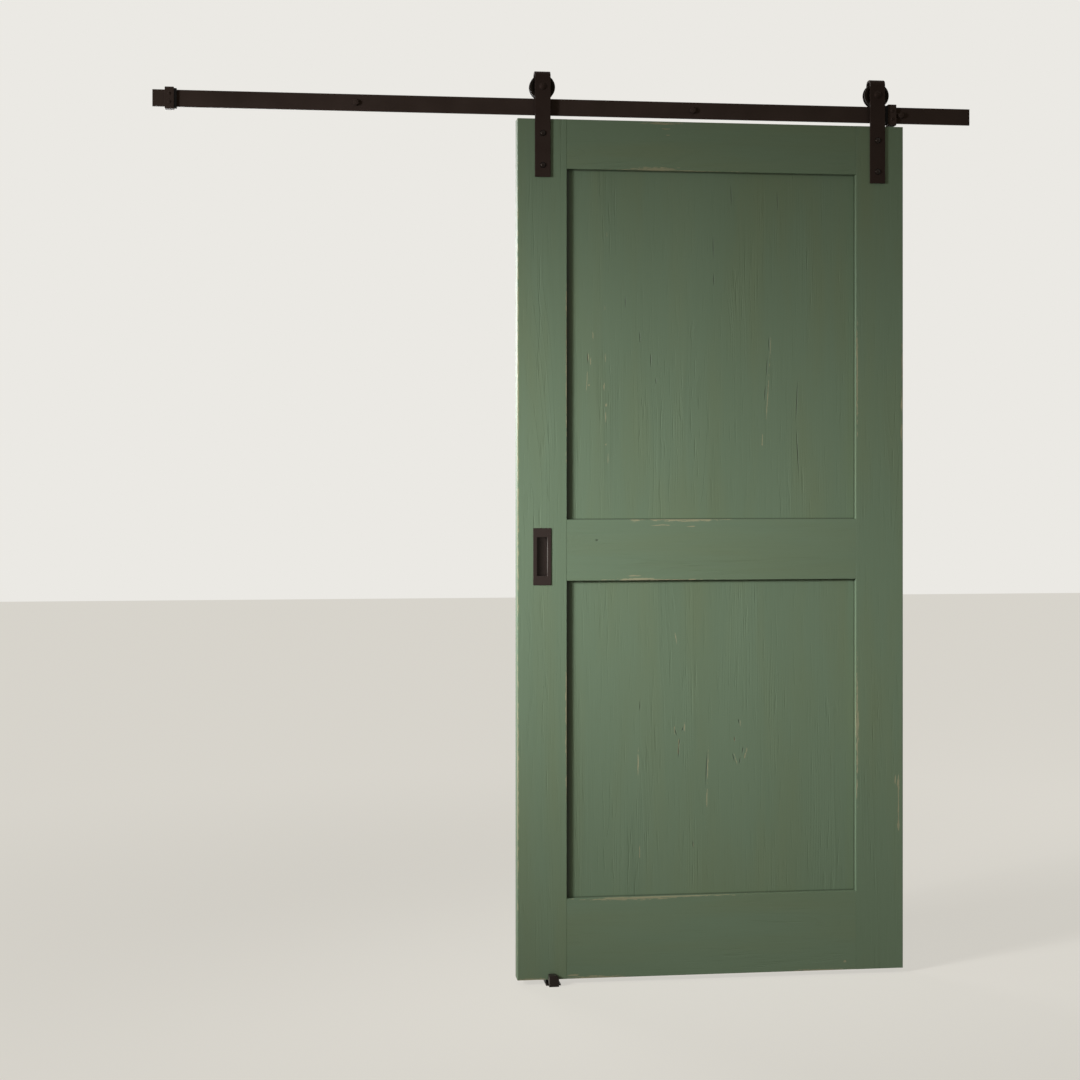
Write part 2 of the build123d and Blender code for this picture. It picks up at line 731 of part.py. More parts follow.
# Floor guide: one casting, with a block in front of the leaf, a foot under it, a lip behind it and two screws
guide_x = door_left + guide_inset
floor_z = door_foot - floor_gap
guide_front = door_front - guide_play
guide_rear = door_rear + guide_play
guide_middle = (guide_front + guide_rear) / 2
guide_foot = guide_rear - guide_front + guide_foot_reach + guide_lip
guide_screw_places = (guide_x - guide_screw_pitch / 2, guide_x + guide_screw_pitch / 2)
guide_cone_depth = (guide_screw_head - guide_screw_neck) / 2 / tan(radians(guide_cone_angle / 2))
with BuildPart() as floor_guide:
    with BuildSketch(Plane.YZ.offset(guide_x)):
        with Locations((guide_front - guide_block, floor_z)):
            Rectangle(
                guide_block + guide_rear - guide_front + guide_lip,
                guide_height,
                align=(Align.MIN, Align.MIN),
            )
        with Locations((guide_front, floor_z + guide_plate)):
            Rectangle(
                guide_rear - guide_front,
                guide_height,
                align=(Align.MIN, Align.MIN),
                mode=Mode.SUBTRACT,
            )
    extrude(amount=guide_width / 2, both=True)
    bed_edges = floor_guide.edges().filter_by(Axis.X).filter_by_position(
        Axis.Z, floor_z + guide_plate - guide_bend, floor_z + guide_plate + guide_bend
    )
    fillet(bed_edges, guide_bend)
    top_edges = floor_guide.edges().filter_by(Axis.Y).group_by(Axis.Z)[-1].group_by(Axis.X)
    fillet(top_edges[0], guide_corner)
    top_edges = floor_guide.edges().filter_by(Axis.Y).group_by(Axis.Z)[-1].group_by(Axis.X)
    fillet(top_edges[-1], guide_round)
    front_edges = floor_guide.faces().sort_by(Axis.Y)[0].edges().sort_by(Axis.Z)[1:]
    fillet(front_edges, guide_edge)
    with BuildSketch(Plane.XY.offset(floor_z)):
        with Locations((guide_x, guide_front - guide_foot_reach)):
            Rectangle(guide_foot_width, guide_foot, align=(Align.CENTER, Align.MIN))
    extrude(amount=guide_plate)
    with Locations(*[(x, guide_middle, floor_z + guide_plate) for x in guide_screw_places]):
        CounterSinkHole(
            radius=guide_screw_thread / 2 + bolt_hole_clearance,
            counter_sink_radius=guide_screw_head / 2,
            depth=guide_plate,
        )
save(floor_guide, "floor_guide")

with BuildPart() as floor_guide_screws:
    for screw_x in guide_screw_places:
        with BuildSketch(Plane.XZ.offset(-guide_middle)):
            with BuildLine():
                Polyline(
                    (screw_x, floor_z + guide_plate),
                    (screw_x + guide_screw_head / 2, floor_z + guide_plate),
                    (screw_x + guide_screw_neck / 2, floor_z + guide_plate - guide_cone_depth),
                    (screw_x + guide_screw_neck / 2, floor_z),
                    (screw_x + guide_screw_thread / 2, floor_z),
                    (screw_x + guide_screw_thread / 2, floor_z - guide_screw_length + guide_screw_point),
                    (screw_x, floor_z - guide_screw_length),
                    close=True,
                )
            make_face()
        revolve(axis=Axis((screw_x, guide_middle, 0), (0, 0, 1)))
    with BuildSketch(Plane.XY.offset(floor_z + guide_plate)):
        with Locations(*[(screw_x, guide_middle) for screw_x in guide_screw_places]):
            Rectangle(guide_screw_cross, guide_screw_cross_width)
            Rectangle(guide_screw_cross_width, guide_screw_cross)
    extrude(amount=-guide_screw_cross_depth, mode=Mode.SUBTRACT)
save(floor_guide_screws, "floor_guide_screws")
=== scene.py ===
from math import cos, pi, radians

import bmesh
import bpy
from mathutils import Matrix, Vector


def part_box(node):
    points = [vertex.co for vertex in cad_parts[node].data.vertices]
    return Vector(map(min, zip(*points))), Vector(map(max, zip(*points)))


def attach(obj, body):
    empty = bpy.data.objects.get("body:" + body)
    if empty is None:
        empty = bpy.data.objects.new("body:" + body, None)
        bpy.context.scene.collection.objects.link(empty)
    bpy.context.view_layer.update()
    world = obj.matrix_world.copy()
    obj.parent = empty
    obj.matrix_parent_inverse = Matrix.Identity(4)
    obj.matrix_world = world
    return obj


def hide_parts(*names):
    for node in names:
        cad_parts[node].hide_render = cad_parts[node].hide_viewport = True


# Barn door on its flat track, in metres: X runs along the track, Y from front to back, and Z is up. The
# spacers stand with their backs at Y = 0.
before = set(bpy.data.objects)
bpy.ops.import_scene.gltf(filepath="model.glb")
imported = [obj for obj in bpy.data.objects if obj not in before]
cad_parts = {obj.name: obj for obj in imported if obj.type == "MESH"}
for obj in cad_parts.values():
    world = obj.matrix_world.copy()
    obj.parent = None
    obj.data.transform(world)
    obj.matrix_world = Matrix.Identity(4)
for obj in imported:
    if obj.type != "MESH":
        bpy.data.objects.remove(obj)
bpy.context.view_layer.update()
mm = 0.001

# Track bar: a length of flat steel bar, sawn, drilled and powder coated. The coat is a baked polyester
# skin, and nearly all of the door's hardware has it. The bar is screwed on through four spacers.
coat_black = "#382f2b"
coat_brown = "#4d413d"
# Painted highlight: a pale line of this colour stands for the glint on a rounded edge.
coat_highlight_colour = "#67645f"
# Painted shade: the coat in a hollow is darkened towards this near-black.
coat_shade_colour = "#0c0705"
coat_tint = "#ffcbb8"
coat_roughness = 0.46
coat_uneven = 0.06
coat_specular = 0.08
coat_peel = 2.5 * mm
coat_peel_height = 0.02 * mm
coat_cloud = 60 * mm
shade_share = 0.55
highlight_core = 0.6


def linear(colour):
    """The linear value of an sRGB hex colour."""
    channels = [int(colour[i:i + 2], 16) / 255 for i in (1, 3, 5)]
    return [c / 12.92 if c <= 0.04045 else ((c + 0.055) / 1.055) ** 2.4 for c in channels] + [1]


def add(tree, kind, inputs=None, **settings):
    """Add a node with its settings, and link or set its inputs, given by name or by number.
    A node that is given as an input stands for its first output in use."""
    node = tree.nodes.new(kind)
    for setting, value in settings.items():
        setattr(node, setting, value)
    for key, value in (inputs or {}).items():
        if isinstance(key, str):
            socket = next(s for s in node.inputs if s.enabled and s.name == key)
        else:
            socket = node.inputs[key]
        if isinstance(value, bpy.types.Node):
            value = next(s for s in value.outputs if s.enabled)
        if isinstance(value, bpy.types.NodeSocket):
            tree.links.new(value, socket)
        else:
            socket.default_value = value
    return node


def new_material(name):
    """A new material with an empty tree."""
    material = bpy.data.materials.new(name)
    material.use_nodes = True
    material.node_tree.nodes.clear()
    return material, material.node_tree


def dress(material, *names):
    """Give CAD nodes their material."""
    for name in names:
        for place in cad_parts[name].material_slots:
            place.material = material


def baked_coat(name, dark, light, roughness, specular, tint, hollow=None, painted_highlight=None):
    """A baked coat on steel: fine orange peel softens each highlight, and slow clouds shift the tone.
    The peel is drawn coarser than the real 1 mm, so that it still shows. A hollow is given by its mouth
    and floor along Y and by two places along X: towards the floor the coat is painted darker and less
    reflective, as painted shade, most at the first place and not at all at the second, on the lit side.
    Round a painted highlight, given by its centre and half sizes, the coat is painted pale, as the glint
    on a rounded edge."""
    material, tree = new_material(name)
    place = add(tree, "ShaderNodeTexCoord").outputs["Object"]
    peel = add(tree, "ShaderNodeTexNoise", {"Vector": place, "Scale": 1 / coat_peel, "Detail": 3})
    cloud = add(tree, "ShaderNodeTexNoise", {"Vector": place, "Scale": 1 / coat_cloud, "Detail": 3})
    colour = add(tree, "ShaderNodeMix", {0: cloud, 6: linear(dark), 7: linear(light)}, data_type="RGBA")
    sheen = add(tree, "ShaderNodeMapRange", {
        "Value": cloud, "To Min": roughness - coat_uneven, "To Max": roughness + coat_uneven,
    })
    relief = add(tree, "ShaderNodeBump", {"Height": peel, "Strength": 1, "Distance": coat_peel_height})
    if hollow:
        mouth, floor, shaded_side, lit_side = hollow
        within = add(tree, "ShaderNodeSeparateXYZ", {"Vector": place})
        deep = add(tree, "ShaderNodeMapRange", {
            "Value": within.outputs["Y"], "From Min": mouth, "From Max": floor,
        }, interpolation_type="SMOOTHSTEP")
        shaded = add(tree, "ShaderNodeMapRange", {
            "Value": within.outputs["X"], "From Min": shaded_side, "From Max": lit_side,
            "To Min": shade_share, "To Max": 0,
        }, interpolation_type="SMOOTHSTEP")
        # Painted shade: darker and less reflective deep in the hollow and towards its shaded side.
        hollow_shade = add(tree, "ShaderNodeMath", {0: deep, 1: shaded}, operation="MULTIPLY")
        colour = add(tree, "ShaderNodeMix", {0: hollow_shade, 6: colour, 7: linear(coat_shade_colour)}, data_type="RGBA")
        specular = add(tree, "ShaderNodeMath", {0: hollow_shade, 1: -specular, 2: specular}, operation="MULTIPLY_ADD")
    # Painted highlight: the coat is lightened round a given place, as the glint on a rounded edge.
    if painted_highlight:
        centre, half_sizes = painted_highlight
        spot = add(tree, "ShaderNodeMapping", {"Vector": place, "Location": centre, "Scale": half_sizes},
                   vector_type="TEXTURE")
        reach = add(tree, "ShaderNodeVectorMath", {0: spot}, operation="LENGTH")
        highlit = add(tree, "ShaderNodeMapRange", {"Value": reach, "From Min": 1, "From Max": highlight_core},
                   interpolation_type="SMOOTHSTEP")
        colour = add(tree, "ShaderNodeMix", {0: highlit, 6: colour, 7: linear(coat_highlight_colour)}, data_type="RGBA")
    shader = add(tree, "ShaderNodeBsdfPrincipled", {
        "Base Color": colour, "Roughness": sheen, "Specular IOR Level": specular,
        "Specular Tint": linear(tint), "Normal": relief,
    })
    add(tree, "ShaderNodeOutputMaterial", {"Surface": shader})
    return material


# Powder coat: a satin brown black, whose faint reflections are brown too.
black_coat = baked_coat("powder_coated_steel", coat_black, coat_brown, coat_roughness, coat_specular,
                        coat_tint)
dress(black_coat, "track_bar")

# Track fixings: four hex head lag screws of forged steel with rolled threads, each through a washer, the
# bar and a turned spacer, whose length sets how far forward the bar stands. They are coated like the bar.
lag_count = 4
lag_flats = 13 * mm
lag_head = 5.3 * mm
lag_head_edge = 0.8 * mm
lag_shank_radius = 3.6 * mm
lag_thread_radius = 4 * mm
lag_core_radius = 2.9 * mm
lag_pitch = 3.4 * mm
lag_point = 8 * mm
lag_thread_start = 2 * mm
thread_steps = 20
thread_root = 0.97
thread_half_width = 0.42
turned_sides = 32
weld = 0.001 * mm
sharp_angle = 32


def turned(outline):
    """A mesh turned from an outline of (radius, height) points that starts and ends on the Z axis."""
    piece = bmesh.new()
    points = [piece.verts.new((radius, 0, height)) for radius, height in outline]
    edges = [piece.edges.new(pair) for pair in zip(points, points[1:])]
    bmesh.ops.spin(piece, geom=points + edges, axis=(0, 0, 1), cent=(0, 0, 0), angle=2 * pi,
                   steps=turned_sides, use_merge=True)
    bmesh.ops.remove_doubles(piece, verts=piece.verts, dist=weld)
    bmesh.ops.recalc_face_normals(piece, faces=piece.faces)
    return piece


def join(piece, other):
    """Add another mesh to a piece."""
    mesh = bpy.data.meshes.new("part")
    other.to_mesh(mesh)
    other.free()
    piece.from_mesh(mesh)
    bpy.data.meshes.remove(mesh)


def roll_thread(piece, start, end, tip, core, crest, pitch):
    """Add a thread round the Z axis from start to end, which then tapers into a point at tip. Its core and
    crest are radii, and its root sits a little inside the core, so that no gap shows."""
    ridge = bmesh.new()
    root = core * thread_root
    half_width = pitch * thread_half_width
    profile = [(root, -half_width), (crest, 0), (root, half_width)]
    points = [ridge.verts.new((radius, 0, start + height)) for radius, height in profile]
    face = ridge.faces.new(points)
    turns = (tip - start) / pitch
    steps = round(turns * thread_steps)
    bmesh.ops.spin(ridge, geom=[face] + list(face.edges) + points, axis=(0, 0, 1), cent=(0, 0, 0),
                   dvec=(0, 0, (tip - start) / steps), angle=2 * pi * turns, steps=steps)
    for vertex in ridge.verts:
        if vertex.co.z > end:
            share = max(0, (tip - vertex.co.z) / (tip - end))
            vertex.co.x *= share
            vertex.co.y *= share
            vertex.co.z = min(vertex.co.z, tip)
    bmesh.ops.recalc_face_normals(ridge, faces=ridge.faces)
    join(piece, ridge)


def set_in_place(piece, name, material, body, node):
    """Make a finished mesh an object that rides on its body and replaces its CAD node."""
    for face in piece.faces:
        face.smooth = True
    mesh = bpy.data.meshes.new(name)
    piece.to_mesh(mesh)
    piece.free()
    mesh.set_sharp_from_angle(angle=radians(sharp_angle))
    mesh.materials.append(material)
    thing = bpy.data.objects.new(name, mesh)
    bpy.context.scene.collection.objects.link(thing)
    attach(thing, body)
    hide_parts(node)


screw_turn = Matrix.Rotation(-pi / 2, 4, "X")
for number in range(1, lag_count + 1):
    low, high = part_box(f"lag_screw_{number}")
    seat = low.y + lag_head
    tip = high.y
    screw = turned([(0, seat), (lag_shank_radius, seat), (lag_shank_radius, lag_thread_start),
                    (lag_core_radius, lag_thread_start), (lag_core_radius, tip - lag_point), (0, tip)])
    roll_thread(screw, lag_thread_start, tip - lag_point, tip, lag_core_radius, lag_thread_radius, lag_pitch)
    head = bmesh.new()
    corner = lag_flats / 2 / cos(pi / 6)
    bmesh.ops.create_cone(head, cap_ends=True, segments=6, radius1=corner, radius2=corner, depth=lag_head,
                          matrix=Matrix.Translation((0, 0, low.y + lag_head / 2)))
    rim = [edge for edge in head.edges if all(v.co.z < low.y + lag_head / 2 for v in edge.verts)]
    bmesh.ops.bevel(head, geom=rim, offset=lag_head_edge, segments=2, profile=0.5, affect="EDGES",
                    material=-1)
    join(screw, head)
    middle = Vector(((low.x + high.x) / 2, 0, (low.z + high.z) / 2))
    screw.transform(Matrix.Translation(middle) @ screw_turn)
    set_in_place(screw, f"lag_screw_{number}_threaded", black_coat, "track",
                 f"lag_screw_{number}")
    dress(black_coat, f"lag_washer_{number}", f"wall_spacer_{number}")

# End stops: a slotted steel block clamped on the bar by two button head screws, with a moulded rubber pad
# on the side that the wheels meet. One stands at each end of the travel.
for side in ("left", "right"):
    dress(black_coat, f"{side}_stop_block", f"{side}_stop_screws")

# Rubber: moulded in a blasted mould, so it is dull, with a fine grain.
rubber_black = "#0c0a09"
rubber_grey = "#14110f"
rubber_roughness = 0.8
rubber_specular = 0.15
rubber_grain = 1.5 * mm
rubber_grain_height = 0.05 * mm
rubber, tree = new_material("moulded_rubber")
place = add(tree, "ShaderNodeTexCoord").outputs["Object"]
grain = add(tree, "ShaderNodeTexNoise", {"Vector": place, "Scale": 1 / rubber_grain, "Detail": 4})
colour = add(tree, "ShaderNodeMix", {0: grain, 6: linear(rubber_black), 7: linear(rubber_grey)},
             data_type="RGBA")
relief = add(tree, "ShaderNodeBump", {"Height": grain, "Strength": 1, "Distance": rubber_grain_height})
shader = add(tree, "ShaderNodeBsdfPrincipled", {
    "Base Color": colour, "Roughness": rubber_roughness, "Specular IOR Level": rubber_specular,
    "Normal": relief,
})
add(tree, "ShaderNodeOutputMaterial", {"Surface": shader})
dress(rubber, "left_stop_bumper", "right_stop_bumper")

# Floor guide: a casting that the foot of the leaf runs through, with a block in front of it, a foot under
# it and a lip behind it, powder coated. Two countersunk wood screws with rolled threads hold it down.
guide_head_radius = 4 * mm
guide_head_depth = 2.76 * mm
guide_neck_radius = 1.6 * mm
guide_core_radius = 1.45 * mm
guide_thread_radius = 2 * mm
guide_thread_start = 5 * mm
guide_thread_pitch = 1.8 * mm
guide_point = 5 * mm
guide_screw_spacing = 24 * mm
cross_width = 0.9 * mm
cross_length = 4.4 * mm
cross_depth = 1.6 * mm
cross_taper = 0.6


def cross_head(rim):
    """A screw head's flat face, looking down, with the tapered cross for the driver sunk in it."""
    face = bmesh.new()
    bmesh.ops.create_grid(face, x_segments=3, y_segments=3, size=cross_length / 2)
    for vertex in face.verts:
        for axis in (0, 1):
            if abs(vertex.co[axis]) < cross_length / 3:
                vertex.co[axis] = cross_width / 2 * (1 if vertex.co[axis] > 0 else -1)
    corners = [quad for quad in face.faces if min(map(abs, quad.calc_center_median()[:2])) > cross_width / 2]
    bmesh.ops.delete(face, geom=corners, context="FACES")
    cross = face.faces[:]
    outline = [edge for edge in face.edges if edge.is_boundary]
    circle = bmesh.ops.create_circle(face, segments=turned_sides, radius=rim)
    ring = list({edge for vertex in circle["verts"] for edge in vertex.link_edges})
    bmesh.ops.triangle_fill(face, use_beauty=True, edges=outline + ring)
    sunk = bmesh.ops.extrude_face_region(face, geom=cross)
    bottom = [item for item in sunk["geom"] if isinstance(item, bmesh.types.BMVert)]
    bmesh.ops.delete(face, geom=cross, context="FACES")
    bmesh.ops.scale(face, vec=(cross_taper, cross_taper, 1), verts=bottom)
    bmesh.ops.translate(face, vec=(0, 0, cross_depth), verts=bottom)
    return face


low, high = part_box("floor_guide_screws")
guide_tip = high.z - low.z
guide_screws = bmesh.new()
for side in (-1, 1):
    screw = turned([(0, guide_head_depth), (guide_neck_radius, guide_head_depth),
                    (guide_neck_radius, guide_thread_start), (guide_core_radius, guide_thread_start),
                    (guide_core_radius, guide_tip - guide_point), (0, guide_tip)])
    roll_thread(screw, guide_thread_start, guide_tip - guide_point, guide_tip, guide_core_radius,
                guide_thread_radius, guide_thread_pitch)
    cone = bmesh.new()
    bmesh.ops.create_cone(cone, segments=turned_sides, radius1=guide_head_radius, radius2=guide_neck_radius,
                          depth=guide_head_depth, matrix=Matrix.Translation((0, 0, guide_head_depth / 2)))
    join(cone, cross_head(guide_head_radius))
    bmesh.ops.remove_doubles(cone, verts=cone.verts, dist=weld)
    bmesh.ops.recalc_face_normals(cone, faces=cone.faces)
    join(screw, cone)
    top = Vector(((low.x + high.x + side * guide_screw_spacing) / 2, (low.y + high.y) / 2, high.z))
    screw.transform(Matrix.Translation(top) @ Matrix.Rotation(pi, 4, "X"))
    join(guide_screws, screw)
set_in_place(guide_screws, "floor_guide_screws_threaded", black_coat, "track",
             "floor_guide_screws")

# Coat on the guide: darker and smoother than on the bar, with a painted highlight along the block's left
# arris, a pale line that stands for the glint there.
guide_dark = "#2b2624"
guide_light = "#3a3431"
guide_tint = "#ffe4d6"
guide_roughness = 0.3
guide_specular = 0.1
guide_block_width = 24 * mm
guide_highlight = (2 * mm, 4 * mm, 16 * mm)
low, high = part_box("floor_guide")
guide_arris = ((low.x + high.x - guide_block_width) / 2, low.y, (low.z + high.z) / 2)
guide_coat = baked_coat("coated_guide", guide_dark, guide_light, guide_roughness, guide_specular, guide_tint,
                        painted_highlight=(guide_arris, guide_highlight))
dress(guide_coat, "floor_guide")

# Leaf: two stiles, three rails and two panels of softwood, jointed, sanded and brushed with matt green
# paint. The grain still shows as fine relief and streaks, and worn edges and scores are down to the wood.
paint_shade = "#66795f"
paint_light = "#768b73"
paint_olive = "#74805f"
wood_dark = "#8b8b6f"
wood_light = "#afae8e"
# This near-black is painted shade, in the slits and in the panels' corners.
shade_colour = "#17150d"
paint_roughness = 0.6
wood_roughness = 0.78
paint_specular = 0.4

# Worn places as across, along, half width, half length and lean, in millimetres and radians from the
# board's centre. Across is to the right on upright boards and up on rails, along is up or to the right.
worn = {
    "top_rail": [
        (55, -127, 3.2, 50, 0), (42, -110, 1.6, 17, 0), (27, -111, 1.3, 8, 0),
        (-60, -109, 2.4, 172, 0), (-58, -143, 7.5, 60, 0),
    ],
    "lock_rail": [
        (74, -83, 2.6, 146, 0), (74, -191, 5.5, 13, 0), (73, -71, 4.6, 88, 0), (60, -130, 1.8, 29, 0),
        (57, -53, 1.4, 10, 0), (-74, -144, 2.8, 158, 0), (-72, -178, 5, 62, 0), (-63, -195, 1.8, 20, 0),
    ],
    "bottom_rail": [
        (96, -127, 2.8, 200, 0), (94, -195, 5, 128, 0), (-96, -288, 5.5, 80, 0), (-88, -345, 2.6, 15, 0),
        (-96, 267, 3.4, 88, 0), (-76, 332, 3, 4, 0),
    ],
    "left_stile": [
        # The two long strips on the left arris, across -60, are partly worn bare wood and partly a painted
        # highlight for the strong pale light on that edge.
        (-60, 300, 3.2, 620, 0), (-60, -560, 3, 360, 0), (60, 592, 2.6, 60, 0), (60, 421, 2.6, 230, 0),
        (60, -449, 3.4, 192, 0), (60, -354, 4.2, 74, 0), (-24, -1040, 44, 5, 0),
    ],
    "right_stile": [
        (-58, 500, 2.4, 52, 0), (-57, 420, 2.6, 154, 0), (-57, -450, 3, 173, 0), (-57, -438, 4.5, 62, 0),
        (-58, -598, 2, 26, 0), (48, -637, 1.8, 77, 0), (48, -582, 3.2, 21, 0), (48, -684, 3.2, 20, 0),
        (40, -573, 2, 12, 0), (58, 460, 2, 56, 0), (57, 361, 3, 36, 0), (56, 285, 2.4, 24, 0),
    ],
    "upper_panel": [
        (-294, 23, 1.4, 14, 0), (-306, -30, 1.2, 12, 0), (-300, -39, 1.4, 10, 0), (-309, -86, 1.1, 34, 0.065),
        (-304, -98, 2.6, 3, 0), (-264, -33, 1.1, 16, 0), (-267, -101, 1.7, 14, 0.03), (-262, -146, 3, 5, 0),
        (-263, -173, 1.2, 20, 0), (-262, -242, 2.2, 3, 0), (-257, -274, 1.1, 16, 0), (-265, 93, 1, 9, 0),
        (-260, 267, 1.1, 8, 0), (147, -6, 1.1, 40, 0.052), (140, -124, 1.4, 58, 0.065),
        (127, -228, 1.1, 17, 0.076), (126, -241, 2.4, 4, 0),
    ],
    "lower_panel": [
        (-93, 19, 1.4, 13, 0), (-68, 25, 1.4, 12, 0), (-83, -24, 1.4, 22, 0.055), (-10, -74, 1.2, 44, 0.036),
        (-12, -146, 1.7, 28, 0.018), (57, -8, 1.6, 6, 0), (71, 33, 1.1, 9, 0), (60, -56, 1.4, 15, -0.295),
        (84, -44, 1.7, 15, 0.28), (-46, -263, 1.5, 6, 0), (-183, -57, 1.6, 40, 0),
        (-179, -278, 1.2, 24, 0), (-89, 241, 1.3, 16, -0.156),
    ],
}

# Slits and dents under the paint, where the softwood has checked along its grain, given as the worn
# places are. Inside them the colour is painted dark, as painted shade in the groove.
slits = {
    "lock_rail": [(24, -286, 3, 5, 0)],
    "upper_panel": [
        (-214, 105, 1.2, 17, 0), (-178, 19, 1.3, 16, -0.04), (-151, -36, 1.5, 20, 0.01),
        (-138, -86, 1.3, 9, 0.03), (-307, -31, 1.2, 16, -0.03), (144, 6, 1.2, 20, 0),
        (139, -51, 1.3, 27, 0.046), (134, -115, 1.2, 22, 0.085), (214, -134, 1.3, 57, 0.045),
        (216, -260, 1.3, 69, -0.055), (4, 242, 1.1, 32, -0.016), (5, 163, 1.2, 18, 0),
        (49, 369, 1.1, 31, -0.025), (165, 358, 1.1, 27, -0.047),
    ],
    "lower_panel": [
        (-13, -78, 1.3, 48, 0.037), (-82, -35, 1.4, 16, 0.016), (-89, 13, 1.6, 10, -0.303),
        (-72, 20, 1.5, 7, 0.341), (-80, -12, 1.5, 10, 0.191), (58, -7, 1.8, 7, -0.119),
        (55, -51, 1.5, 12, -0.244), (71, -59, 1.5, 10, 0.192), (78, -34, 1.5, 10, 0.192),
        (68, 37, 1.6, 7, -0.17), (-46, -262, 1.4, 10, -0.05), (-178, 78, 1.1, 15, 0),
    ],
}
mark_depth_share = 1.5


def nearest_mark(tree, board, marks):
    """How far a point of a board is from the nearest of its marks, where 1 is a mark's outline."""
    nearest = None
    for across, along, half_width, half_length, lean in marks:
        half_depth = mark_depth_share * half_width
        spot = add(tree, "ShaderNodeMapping", {
            "Vector": board, "Location": (across * mm, 0, along * mm), "Rotation": (0, lean, 0),
            "Scale": (half_width * mm, half_depth * mm, half_length * mm),
        }, vector_type="TEXTURE")
        reach = add(tree, "ShaderNodeVectorMath", {0: spot}, operation="LENGTH")
        if nearest:
            reach = add(tree, "ShaderNodeMath", {0: nearest, 1: reach}, operation="MINIMUM")
        nearest = reach
    return nearest


def board_place(tree, name):
    """Places on a board, from the middle of its face: X across it, Y into it and Z along it."""
    low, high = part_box(name)
    middle = (low + high) / 2
    turn = {"Location": (-middle.x, -low.y, -middle.z)}
    if name.endswith("rail"):
        turn = {"Location": (-middle.z, -low.y, -middle.x), "Rotation": (0, pi / 2, 0), "Scale": (-1, 1, 1)}
    place = add(tree, "ShaderNodeTexCoord").outputs["Object"]
    return add(tree, "ShaderNodeMapping", {"Vector": place, **turn})


# Staves: a panel is glued up from five, and two and a half of them lie left of its middle. Each one's
# timber comes from another place, up to stave_shift away.
stave_width = 144 * mm
staves_left = 2.5
stave_shift = (300 * mm, 30 * mm, 3000 * mm)


def glued_staves(tree, board, seed):
    """Places on a panel's timber, which jump from stave to stave."""
    across = add(tree, "ShaderNodeSeparateXYZ", {"Vector": board})
    stave = add(tree, "ShaderNodeMath", {0: across, 1: 1 / stave_width, 2: staves_left + 10 * seed},
                operation="MULTIPLY_ADD")
    stave = add(tree, "ShaderNodeMath", {0: stave}, operation="FLOOR")
    chance = add(tree, "ShaderNodeTexWhiteNoise", {"W": stave}, noise_dimensions="1D")
    return add(tree, "ShaderNodeVectorMath", {0: chance.outputs["Color"], 1: stave_shift, 2: board},
               operation="MULTIPLY_ADD")


# Year rings: they stand round the board's heart, bend by up to bend_reach along it, and differ from year
# to year. Most of a ring is pale early wood, and its end is hard, dark late wood. Wide patterns are drawn
# out about seven times along the board.
ring_width = 6.5 * mm
ring_pace = 0.7
ring_range = 1.6
bend_width = 125 * mm
bend_reach = 50 * mm
late_power = 2.6
drawn_out = (1, 1, 0.14)


def late_wood(tree, timber, seed, heart_side, heart_depth, heart_tilt):
    """How late in its year each point of the timber has grown, from 0 to 1."""
    drift = add(tree, "ShaderNodeMapping", {"Vector": timber, "Location": (seed, 0, 0), "Scale": drawn_out})
    wander = add(tree, "ShaderNodeTexNoise", {"Vector": drift, "Scale": 1 / bend_width, "Detail": 2})
    bent = add(tree, "ShaderNodeVectorMath", {
        0: wander.outputs["Color"], 1: (bend_reach, bend_reach, 0), 2: timber,
    }, operation="MULTIPLY_ADD")
    heart = add(tree, "ShaderNodeMapping", {
        "Vector": bent, "Location": (-heart_side, -heart_depth, 0), "Rotation": (heart_tilt, 0, 0),
    })
    spoke = add(tree, "ShaderNodeVectorMath", {0: heart, 1: (1, 1, 0)}, operation="MULTIPLY")
    radius = add(tree, "ShaderNodeVectorMath", {0: spoke}, operation="LENGTH")
    years = add(tree, "ShaderNodeMath", {0: radius, 1: ring_width}, operation="DIVIDE")
    season = add(tree, "ShaderNodeTexNoise", {"W": years, "Scale": ring_pace, "Detail": 0},
                 noise_dimensions="1D")
    years = add(tree, "ShaderNodeMath", {0: season, 1: ring_range, 2: years}, operation="MULTIPLY_ADD")
    ring = add(tree, "ShaderNodeMath", {0: years}, operation="FRACT")
    return add(tree, "ShaderNodeMath", {0: ring, 1: late_power}, operation="POWER")


# Bare wood: it shows at the heart of each mark and, further out, only in slivers along the grain.
sliver_width = 2.2 * mm
sliver_stretch = (1, 1, 0.12)
sliver_weight = 3.6
mark_fade = -1.2
mark_start = -0.1
bare_edge = (0.65, 1)


def bare_wood(tree, board, name, seed):
    """Where the paint is gone from a board, from 0 to 1."""
    slivers = add(tree, "ShaderNodeMapping", {
        "Vector": board, "Location": (0, 0, seed), "Scale": sliver_stretch,
    })
    sliver = add(tree, "ShaderNodeTexNoise", {"Vector": slivers, "Scale": 1 / sliver_width, "Detail": 3})
    nearest = nearest_mark(tree, board, worn[name])
    core = add(tree, "ShaderNodeMath", {0: nearest, 1: mark_fade, 2: mark_start}, operation="MULTIPLY_ADD")
    level = add(tree, "ShaderNodeMath", {0: sliver, 1: sliver_weight, 2: core}, operation="MULTIPLY_ADD")
    return add(tree, "ShaderNodeMapRange", {
        "Value": level, "From Min": bare_edge[0], "From Max": bare_edge[1],
    }, interpolation_type="SMOOTHSTEP")


# Painted shade: a darker colour lines the corner between a panel and its frame, where shade falls, and
# lies wider and darker on the left, as the frame's painted shadow.
corner_shade_width = 5 * mm
corner_shade_most = 0.6
left_shadow_width = 16 * mm
left_shadow_core = 2.5 * mm
left_shadow_most = 0.85


